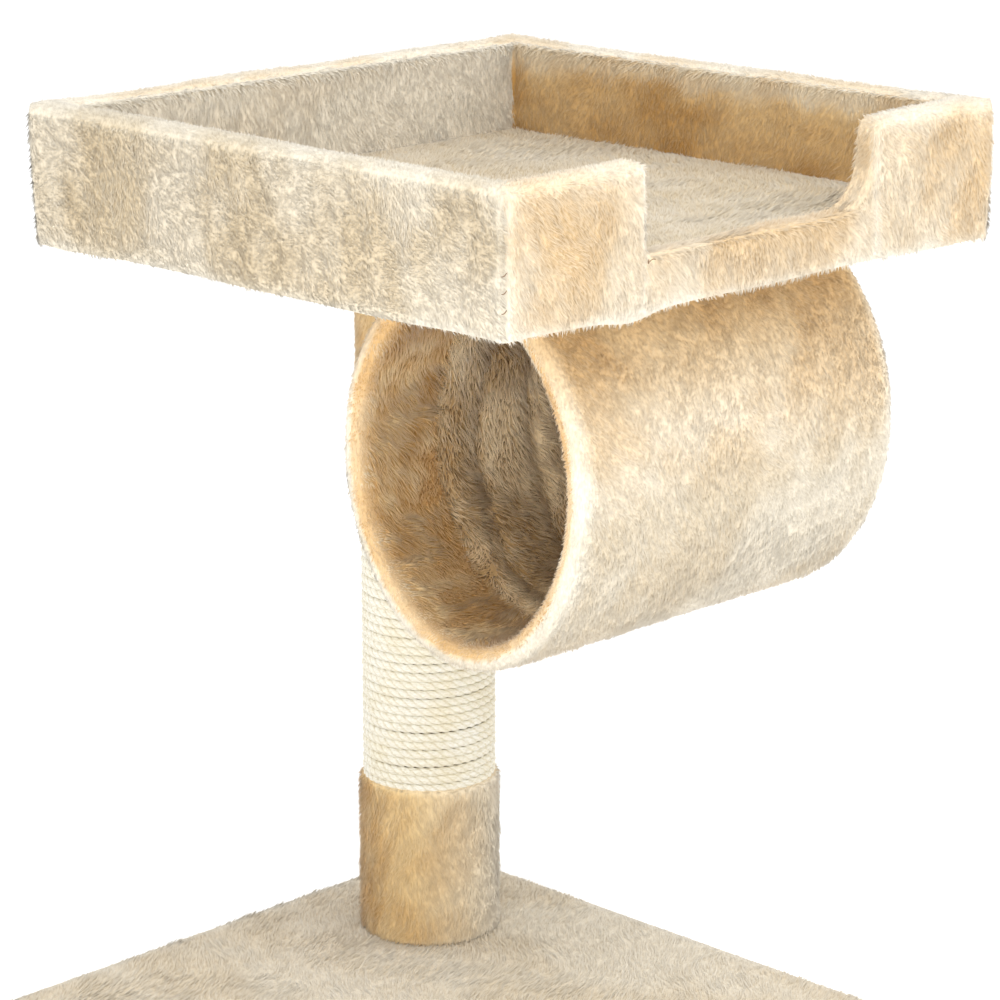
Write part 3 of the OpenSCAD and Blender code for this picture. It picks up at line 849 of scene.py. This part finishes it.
def makeTunnelCover():
    x0, x1 = tunnelLow[0], tunnelHigh[0]
    cuff = boxOf("tunnel_lining")[0][0] - x0
    t, inner = tunnel["plush"], -2 * tunnel["plush"] - tunnel["shell"]
    x0, x1 = x0 - tunnel["roll"], x1 + tunnel["loose"]
    r = tunnel["rimRound"]
    bend = [(r - r * math.sin(a), -r + r * math.cos(a)) for a in (0.0, 0.52, 1.05, 1.57)]
    puff = tunnel["loose"]
    profile = ladder(x0 + r, x1 - r, puff)
    profile += [(x1 - dx, g + puff) for dx, g in bend]
    profile += [(x1 - dx, inner - g) for dx, g in reversed(bend)]
    end0, end1 = x0 + cuff + tunnel["roll"], x1 - cuff - tunnel["loose"]
    profile += ladder(x1 - r, end1, inner)
    profile += [(end1, inner), (end1, inner + t)]
    profile += ladder(end1, x1 - t, inner + t)
    profile += [(x1 - t, inner + t), (x1 - t, -t)]
    profile += ladder(x1 - t, x0 + t, -t)
    profile += [(x0 + t, -t), (x0 + t, inner + t)]
    profile += ladder(x0 + t, end0, inner + t)
    profile += [(end0, inner + t), (end0, inner)]
    profile += ladder(end0, x0 + r, inner)
    profile += [(x0 + dx, inner - g) for dx, g in bend]
    profile += [(x0 + dx, g + puff) for dx, g in reversed(bend)][:-1]
    piece = sweepTunnel("tunnelCover", profile)
    return finishPiece(piece, "plush", plushCloth, "tunnel_cover")


lining = {
    "ease": 0.001, "puff": 0.0035, "crease": 0.0045, "grooveWide": 0.012,
    # each fold's place, half width, how far it sways, and where round the oval it starts to
    "folds": ((0.125, 0.007, 0.006, 0.4), (0.165, 0.009, 0.010, 2.0), (0.205, 0.007, 0.007, 4.0)),
}


def makeTunnelLining():
    low, high = boxOf("tunnel_lining")
    outer = -tunnel["plush"] - tunnel["shell"]
    inner = outer - tunnel["plush"]
    profile = ladder(low[0], high[0], outer) + [(high[0], outer)]
    profile += ladder(high[0], low[0], inner) + [(low[0], inner)]

    def creases(profile, a):
        # loose at its ends, where it leaves a groove behind the cuffs, with slack folds between
        x, inward = profile[:, 0], profile[:, 1] < (outer + inner) / 2
        span = np.minimum(x - low[0], high[0] - x)
        full = np.clip(span / lining["grooveWide"], 0, 1) ** 0.6
        folds = 0
        for place, width, sway, lag in lining["folds"]:
            across = np.clip((x - place - sway * math.sin(a * 2 + lag)) / width, -1, 1)
            folds = folds + (0.5 + 0.5 * np.cos(across * math.pi))
        return inward * (lining["ease"] * (1 - full) - lining["puff"] * full + lining["crease"] * folds)
    piece = sweepTunnel("tunnelLining", profile, creases)
    return finishPiece(piece, "lining", liningCloth, "tunnel_lining")


tunnelCover = makeTunnelCover()
tunnelLining = makeTunnelLining()
say("tunnel made")

# lean is how far the pile lies over and scatter how unevenly, velvet how far it is shaded as its
# cloth is, trim how much shorter it is at an edge; patch and clump are the sizes of its markings
pileKinds = {
    "wall": {"perSquareMetre": 490000, "length": 0.0054, "width": 0.00092, "lean": 2.6, "scatter": 0.15,
             "sink": 0.0006, "droop": 0.03, "patch": 0.045, "clump": 0.007, "turn": 0.6,
             "clumpTurn": 0.4, "velvet": 0.86, "middle": 0.5, "contrast": 0.27, "trim": 0.42,
             "clumpTone": 0.03},
    "floor": {"perSquareMetre": 300000, "length": 0.0062, "width": 0.0013, "lean": 3.2, "scatter": 0.12,
              "sink": 0.0005, "droop": 0.02, "patch": 0.07, "clump": 0.01, "turn": 0.7,
              "clumpTurn": 0.35, "velvet": 0.8, "middle": 0.55, "contrast": 0.28, "trim": 0.0,
              "clumpTone": 0.06},
    "inside": {"perSquareMetre": 390000, "length": 0.0095, "width": 0.0011, "lean": 1.8, "scatter": 0.26,
               "sink": 0.0008, "droop": 0.10, "patch": 0.045, "clump": 0.008, "turn": 0.9,
               "clumpTurn": 0.8, "velvet": 0.2, "middle": 0.5, "contrast": 0.5, "trim": 0.45,
               "clumpTone": 0.42},
    "base": {"perSquareMetre": 210000, "length": 0.0065, "width": 0.0015, "lean": 3.4, "scatter": 0.10,
             "sink": 0.0005, "droop": 0.0, "patch": 0.08, "clump": 0.012, "turn": 0.7,
             "clumpTurn": 0.35, "velvet": 0.85, "middle": 0.55, "contrast": 0.22, "trim": 0.2,
             "clumpTone": 0.05},
}


def alwaysWarm(amount, lift=0.0):
    return lambda p, n: (np.full(len(p), amount), np.full(len(p), lift))


def combed(*way):
    return lambda p, n: np.tile(np.array(way, float), (len(p), 1))


def pileOf(kind, seed, patchSeed, comb, warm, edge=None, **changes):
    return {**pileKinds[kind], "seed": seed, "patchSeed": patchSeed, "comb": comb, "warm": warm,
            "edge": edge, **changes}


def fade(distance, reach):
    return np.clip(1 - distance / reach, 0, 1)


bedEntry = tuple(bedLow[0] + x for x in bed["entry"])
seams = {"rim": 0.012, "foot": 0.010, "corner": 0.009, "entry": 0.006, "frontDeep": 0.006}


def bedEdge(p):
    # 1 at the rim, along the lower edge and at the corner seams
    inset, _ = sideDistance(p, bedLow, bedHigh)
    corner = np.hypot(np.minimum(p[:, 0] - bedLow[0], bedHigh[0] - p[:, 0]),
                      np.minimum(p[:, 1] - bedLow[1], bedHigh[1] - p[:, 1]))
    entryLow, entryHigh = bedEntry
    ends = np.minimum(np.abs(p[:, 0] - entryLow), np.abs(p[:, 0] - entryHigh))
    onFront = p[:, 1] < bedLow[1] + seams["frontDeep"]
    return np.maximum.reduce([
        fade(bedHigh[2] - p[:, 2], seams["rim"]), fade(p[:, 2] - bedLow[2], seams["foot"]),
        fade(corner, seams["corner"]), 0.7 * fade(ends, seams["entry"]) * onFront])


def bedTintAndShade(p, n):
    _, way = sideDistance(p, bedLow, bedHigh)
    front, left = way[:, 1] < -0.5, way[:, 0] < -0.5
    # each side gets its own warmth, partly the way its pile lies and partly painted light and shade for
    # how light falls on that side
    warm = np.where(front, 0.58, np.where(left, 0.15, 0.45))
    # the left wall is painted greyer towards its rear end, and the front palest low down
    far = np.clip((p[:, 1] - bedLow[1]) / (bedHigh[1] - bedLow[1]), 0, 1)
    lift = np.where(left, -0.12 * far, 0.0)
    lift += np.where(front, 0.25 * fade(p[:, 2] - bedLow[2], 0.04) - 0.06, 0.0)
    return warm, lift


def fallFromRim(*way):
    # down the wall, and brushed over along the rim
    def comb(p, n):
        rim = fade(bedHigh[2] - p[:, 2], 0.008) * (n[:, 2] > 0.2)
        return np.array(way, float) + np.array([2.4, 3.2, 0]) * rim[:, None]
    return comb


def onBedSide(axis, sign):
    # outer faces of one side of the bed, with that side's share of the rim
    free = clearOf(underBedCover)

    def keep(centre, normal):
        inset, way = sideDistance(centre, bedLow, bedHigh)
        here = (way[:, axis] * sign > 0.5) & (inset < bed["wall"] + 0.001)
        here &= (centre[:, 2] > bedLow[2] + 0.0015) | (normal[:, 2] > -0.5)
        chosen = np.flatnonzero(here)
        here[chosen] = free(centre[chosen], normal[chosen])
        return here
    return keep


def insideBed(axis, sign):
    free = clearOf([nodesNow[n] for n in wallBoards])
    floorTop = boxOf("bed_floor_cover")[1][2]

    def keep(centre, normal):
        ledge = (normal[:, 2] > 0.2) & (centre[:, 2] > bedHigh[2] - 0.020)
        here = (normal[:, axis] * sign > 0.7) | (ledge & (normal[:, axis] * sign > -0.1))
        here &= centre[:, 2] > floorTop - 0.002
        chosen = np.flatnonzero(here)
        here[chosen] = free(centre[chosen], normal[chosen])
        return here
    return keep


def makeBedFur():
    comb = {"front": fallFromRim(0.25, 0, -1), "left": fallFromRim(0, -1, -0.45)}
    dressSkin(bedCover, pileOf("wall", 0, 100, None, bedTintAndShade, bedEdge))
    for name, axis, sign, way, seed in (("Front", 1, -1, "front", 11), ("Left", 0, -1, "left", 12),
                                        ("Right", 0, 1, "left", 13), ("Rear", 1, 1, "front", 14)):
        growFur("bedFur" + name, bedCover, pileOf("wall", seed, 100, comb[way], bedTintAndShade, bedEdge),
                plushFur, onBedSide(axis, sign))

    def insideTintAndShade(p, n):
        right = n[:, 0] < -0.5
        # the rim's paler pile hangs over the top of the lining
        rim = fade(bedHigh[2] - 0.014 - p[:, 2] + 0.004 * smoothNoise(p, 0.02, 111), 0.009)
        # the right inner wall is painted darker and more golden as painted shade, lighter towards its
        # top; the other inner walls are painted paler, a painted light for light they do not get
        warm = np.where(right, 1.0 - 0.3 * rim, 0.42)
        high = np.clip((p[:, 2] - bedHigh[2] + 0.045) / 0.045, 0, 1)
        return warm, np.where(right, 0.35 * high - 0.32 + 0.3 * rim, 0.6)
    dressSkin(bedLining, pileOf("wall", 0, 110, None, insideTintAndShade))
    for name, axis, sign, seed in (("Right", 0, -1, 15), ("Rear", 1, -1, 16), ("Left", 0, 1, 17),
                                   ("Front", 1, 1, 18)):
        growFur("bedFurInside" + name, bedLining,
                pileOf("wall", seed, 110, combed(0.2, 0.2, -1), insideTintAndShade, length=0.0046,
                       lean=2.9, velvet=0.9),
                plushFur, insideBed(axis, sign))
    floorPile = pileOf("floor", 19, 120, combed(0.75, 0.45, 0), alwaysWarm(0.12, -0.5))
    dressSkin(bedFloorCover, floorPile)
    growFur("bedFurFloor", bedFloorCover, floorPile, plushFur, lambda p, n: n[:, 2] > 0.5)
    dressSkin(bedUnderside, pileOf("floor", 0, 130, None, alwaysWarm(0.3)))


makeBedFur()


def makeTunnelFur():
    def radial(p, n):
        return n[:, 1] * (p[:, 1] - tunnelY) + n[:, 2] * (p[:, 2] - tunnelZ)

    def tunnelEdge(p):
        return fade(np.minimum(p[:, 0] - tunnelLow[0], tunnelHigh[0] - p[:, 0]) - 0.003, 0.006)

    def tunnelTintAndShade(p, n):
        # the top is painted warmer and darker, partly painted shade under the bed and partly the way its
        # pile lies; inside the cuffs the pile is painted darker and warmer, painted shade in the mouth
        up = np.clip((p[:, 2] - tunnelZ + 0.02) / 0.12, 0, 1)
        inner = radial(p, n) < 0
        warm = np.where(inner, 0.97 - 0.1 * tunnelEdge(p), 0.18 + 0.8 * up)
        return warm, np.where(inner, -0.2 - 0.3 * tunnelEdge(p), 0.14 - 0.14 * up)
    free = clearOf([nodesNow["tunnel_shell"], nodesNow["tunnel_lining"]])

    def pickWith(test):
        def keep(centre, normal):
            here = test(centre, normal)
            chosen = np.flatnonzero(here)
            here[chosen] = free(centre[chosen], normal[chosen])
            return here
        return keep
    tunnelLook = {"patch": 0.06, "contrast": 0.24, "trim": 0.4, "length": 0.0052, "lean": 2.7,
                  "width": 0.00085}
    around = combed(0.15, 0.05, -1)
    dressSkin(tunnelCover, pileOf("wall", 0, 140, None, tunnelTintAndShade, tunnelEdge, **tunnelLook))
    middle = (tunnelLow[0] + tunnelHigh[0]) / 2
    for name, low, high, seed in (("Left", -9, middle, 21), ("Right", middle, 9, 22)):
        growFur("tunnelFur" + name, tunnelCover,
                pileOf("wall", seed, 140, around, tunnelTintAndShade, tunnelEdge, perSquareMetre=430000,
                       **tunnelLook), plushFur,
                pickWith(lambda p, n: (radial(p, n) > 0) & (p[:, 0] > low) & (p[:, 0] <= high)))
    for name, low, high, seed in (("Left", -9, middle, 23), ("Right", middle, 9, 25)):
        growFur("tunnelFurCuff" + name, tunnelCover,
                pileOf("inside", seed, 140, around, tunnelTintAndShade, tunnelEdge, length=0.0075, trim=0.65,
                       perSquareMetre=500000, velvet=0.4, scatter=0.18), plushFur,
                pickWith(lambda p, n: (radial(p, n) <= 0) & (p[:, 0] > low) & (p[:, 0] <= high)))
    inner = pileOf("inside", 24, 150, around, alwaysWarm(0.4))
    dressSkin(tunnelLining, inner)
    growFur("tunnelFurLining", tunnelLining, inner, liningFur,
            lambda p, n: (radial(p, n) < 0) & (np.abs(n[:, 0]) < 0.97), wears="lining")


makeTunnelFur()


def makePostFur():
    for skin, name, node, seed in ((lowerSleeve, "Lower", "post_lower_sleeve", 31),
                                   (upperSleeve, "Upper", "post_upper_sleeve", 32)):
        low, high = boxOf(node)

        def sleeveLightAndShade(p, n):
            # the side towards the key lamp, right and front, is painted paler and cooler as painted
            # light, the far side darker and warmer as painted shade
            across = 0.7 * (n[:, 0] - n[:, 1])
            return 0.92 - 0.35 * across, 0.3 + 0.45 * across

        def ends(p):
            return fade(np.minimum(p[:, 2] - low[2], high[2] - p[:, 2]), 0.005)
        pile = pileOf("wall", seed, 160, combed(0, 0, -1), sleeveLightAndShade, ends,
                      length=0.0055, lean=2.8, patch=0.035, contrast=0.3)
        dressSkin(skin, pile)
        growFur("sleeveFur" + name, skin, pile, plushFur,
                lambda p, n: n[:, 0] * (p[:, 0] - postX) + n[:, 1] * (p[:, 1] - postY) > 0.001)


makePostFur()


def makeBaseFur():
    middle = (baseLow[0] + baseHigh[0]) / 2

    def baseEdge(p):
        inset, _ = sideDistance(p, baseLow, baseHigh)
        return 0.6 * fade(inset, 0.01)
    dressSkin(baseCover, pileOf("base", 0, 170, None, alwaysWarm(0.16, 0.1), baseEdge))
    for name, sign, seed in (("Left", -1, 33), ("Right", 1, 34)):
        def keep(p, n):
            inset, _ = sideDistance(p, baseLow, baseHigh)
            around = np.hypot(p[:, 0] - postX, p[:, 1] - postY) > tubeRadius + 0.004
            top = (n[:, 2] > 0.5) & (p[:, 2] > baseHigh[2] - 0.006)
            rim = (inset < 0.003) & (p[:, 2] > 0.005) & (n[:, 2] > -0.5)
            return ((p[:, 0] - middle) * sign > 0) & around & (top | rim)
        growFur("baseFur" + name, baseCover,
                pileOf("base", seed, 170, combed(0.75, 0.45, -0.3), alwaysWarm(0.16, 0.1), baseEdge),
                plushFur, keep)


makeBaseFur()
say(f"fur: {furCount['triangles']} triangles")

thread = {"radius": 0.00028, "stitch": 0.0018, "count": 3, "first": 0.018, "apart": 0.011,
          "stray": 0.002, "inset": 0.0012, "bow": 0.0022, "tail": 0.010, "tailHigh": 0.030, "seed": 5}


def makeThread(name, lines):
    # each line of points becomes a thin round thread with closed ends
    curve = bpy.data.curves.new(name, "CURVE")
    curve.dimensions = "3D"
    curve.bevel_depth = thread["radius"]
    curve.bevel_resolution = 1
    curve.use_fill_caps = True
    for line in lines:
        spline = curve.splines.new("POLY")
        spline.points.add(len(line) - 1)
        for point, place in zip(spline.points, line):
            point.co = (*place, 1)
    makeActive(addPiece(name, curve))
    bpy.ops.object.convert(target="MESH")
    piece = bpy.context.object
    smoothShade(piece)
    return finishPiece(piece, "plush", threadTone)


def makeStitches():
    # the front left corner is closed by hand with a few dark stitches
    rng = np.random.default_rng(thread["seed"])
    cornerX, cornerY = bedLow[:2] + thread["inset"]
    run = np.linspace(-0.5, 0.5, 5)
    bow = thread["bow"] * (1 - (2 * run) ** 2)
    lines = []
    for i in range(thread["count"]):
        z = bedLow[2] + thread["first"] + thread["apart"] * i + rng.uniform(-1, 1) * thread["stray"]
        lines.append([(cornerX - b + r * thread["stitch"], cornerY - b - r * thread["stitch"],
                       z + r * thread["stray"]) for r, b in zip(run, bow)])
    makeThread("cornerStitches", lines)
    # a loose end of thread stands out beside the entry's left foot
    t = np.linspace(0, 1, 7)
    start = np.array([bedEntry[0] + 0.002, bedLow[1] - 0.001, bedLow[2] + thread["tailHigh"]])
    tails = []
    for side in (-1.0, 0.6):
        ways = [np.array([side * a * 0.35, -0.35 * a, 0.75 * a - 0.5 * a * a]) for a in t]
        tails.append([tuple(start + thread["tail"] * way) for way in ways])
    makeThread("threadTail", tails)


makeStitches()
say("thread made")

say("sheets declared")

# the model's own nodes that stay, by what they are made of
kept = [
    (boardTone, ("base_board", "bed_board", *wallBoards)),
    (plugTone, ("post_lower_plug", "post_upper_plug")),
    (cardTone, ("post_tube", "tunnel_shell")),
    (steelTone, ("base_staples", "bed_staples", "post_bolts", "post_washers", "bed_wall_screws",
                 "tunnel_bolts", "tunnel_washers", "tunnel_tee_nuts")),
    (brassTone, ("post_inserts",)),
]
for material, names in kept:
    for name in names:
        piece = nodesNow[name]
        if not piece.material_slots:
            piece.data.materials.append(material)
        for holder in piece.material_slots:
            holder.material = material

studio = {
    "floorSize": 12.0, "floorGlow": 0.3, "world": 0.90, "aim": (0.08, 0.05, 0.42),
    "key": {"power": 13, "size": 1.8, "place": (1.7, -1.75, 1.5)},
    "fill": {"power": 24, "size": 2.0, "place": (-2.2, -1.3, 0.85)},
    "top": {"power": 18, "size": 1.6, "place": (-0.4, -0.9, 2.3)},
    "mouth": {"power": 40, "spread": math.radians(11), "size": 0.12, "place": (-1.45, -0.85, 0.44),
              "way": (1.56, 0.90, -0.05)},
}


def makeFloor():
    deselect()
    bpy.ops.mesh.primitive_plane_add(size=studio["floorSize"], location=(0, 0, 0))
    floor = bpy.context.object
    floor.name = "studioFloor"
    paper = grainMaterial("paperFloor", 0.95, (0.93, 0.93, 0.93, 1), (0.96, 0.96, 0.96, 1), 40, 2)
    shader = paper.node_tree.nodes["Principled BSDF"]
    shader.inputs["Emission Color"].default_value = (1, 1, 1, 1)
    shader.inputs["Emission Strength"].default_value = studio["floorGlow"]
    floor.data.materials.append(paper)


def placeLight(name, data, way):
    light = addPiece(name + "Light", data)
    light.location = studio[name]["place"]
    light.rotation_euler = Vector(way).to_track_quat("-Z", "Y").to_euler()


def makeSoftLight(name):
    look = studio[name]
    data = bpy.data.lights.new(name + "Light", "AREA")
    data.energy, data.size = look["power"], look["size"]
    placeLight(name, data, Vector(studio["aim"]) - Vector(look["place"]))


def makeMouthLight():
    # a narrow light that reaches into the tunnel
    look = studio["mouth"]
    data = bpy.data.lights.new("mouthLight", "SPOT")
    data.energy, data.spot_size, data.spot_blend = look["power"], look["spread"], 1.0
    data.shadow_soft_size = look["size"]
    placeLight("mouth", data, look["way"])


makeFloor()
makeSoftLight("key")
makeSoftLight("fill")
makeMouthLight()
makeSoftLight("top")

scene = bpy.context.scene
scene.view_settings.view_transform = "Standard"
world = bpy.data.worlds.new("studioWorld")
world.use_nodes = True
world.node_tree.nodes["Background"].inputs["Color"].default_value = (1, 1, 1, 1)
world.node_tree.nodes["Background"].inputs["Strength"].default_value = studio["world"]
scene.world = world

eye = {"place": (-1.4759, -1.5101, 0.9539), "turn": (math.pi / 2 - 0.267, 0, -0.794), "lens": 130.6,
       "sensor": 36, "near": 0.05, "far": 50}
cameraData = bpy.data.cameras.new("mainCamera")
cameraData.lens, cameraData.sensor_width = eye["lens"], eye["sensor"]
cameraData.clip_start, cameraData.clip_end = eye["near"], eye["far"]
camera = addPiece("mainCamera", cameraData)
camera.location = eye["place"]
camera.rotation_euler = eye["turn"]
scene.camera = camera
say("floor, lights and camera made")
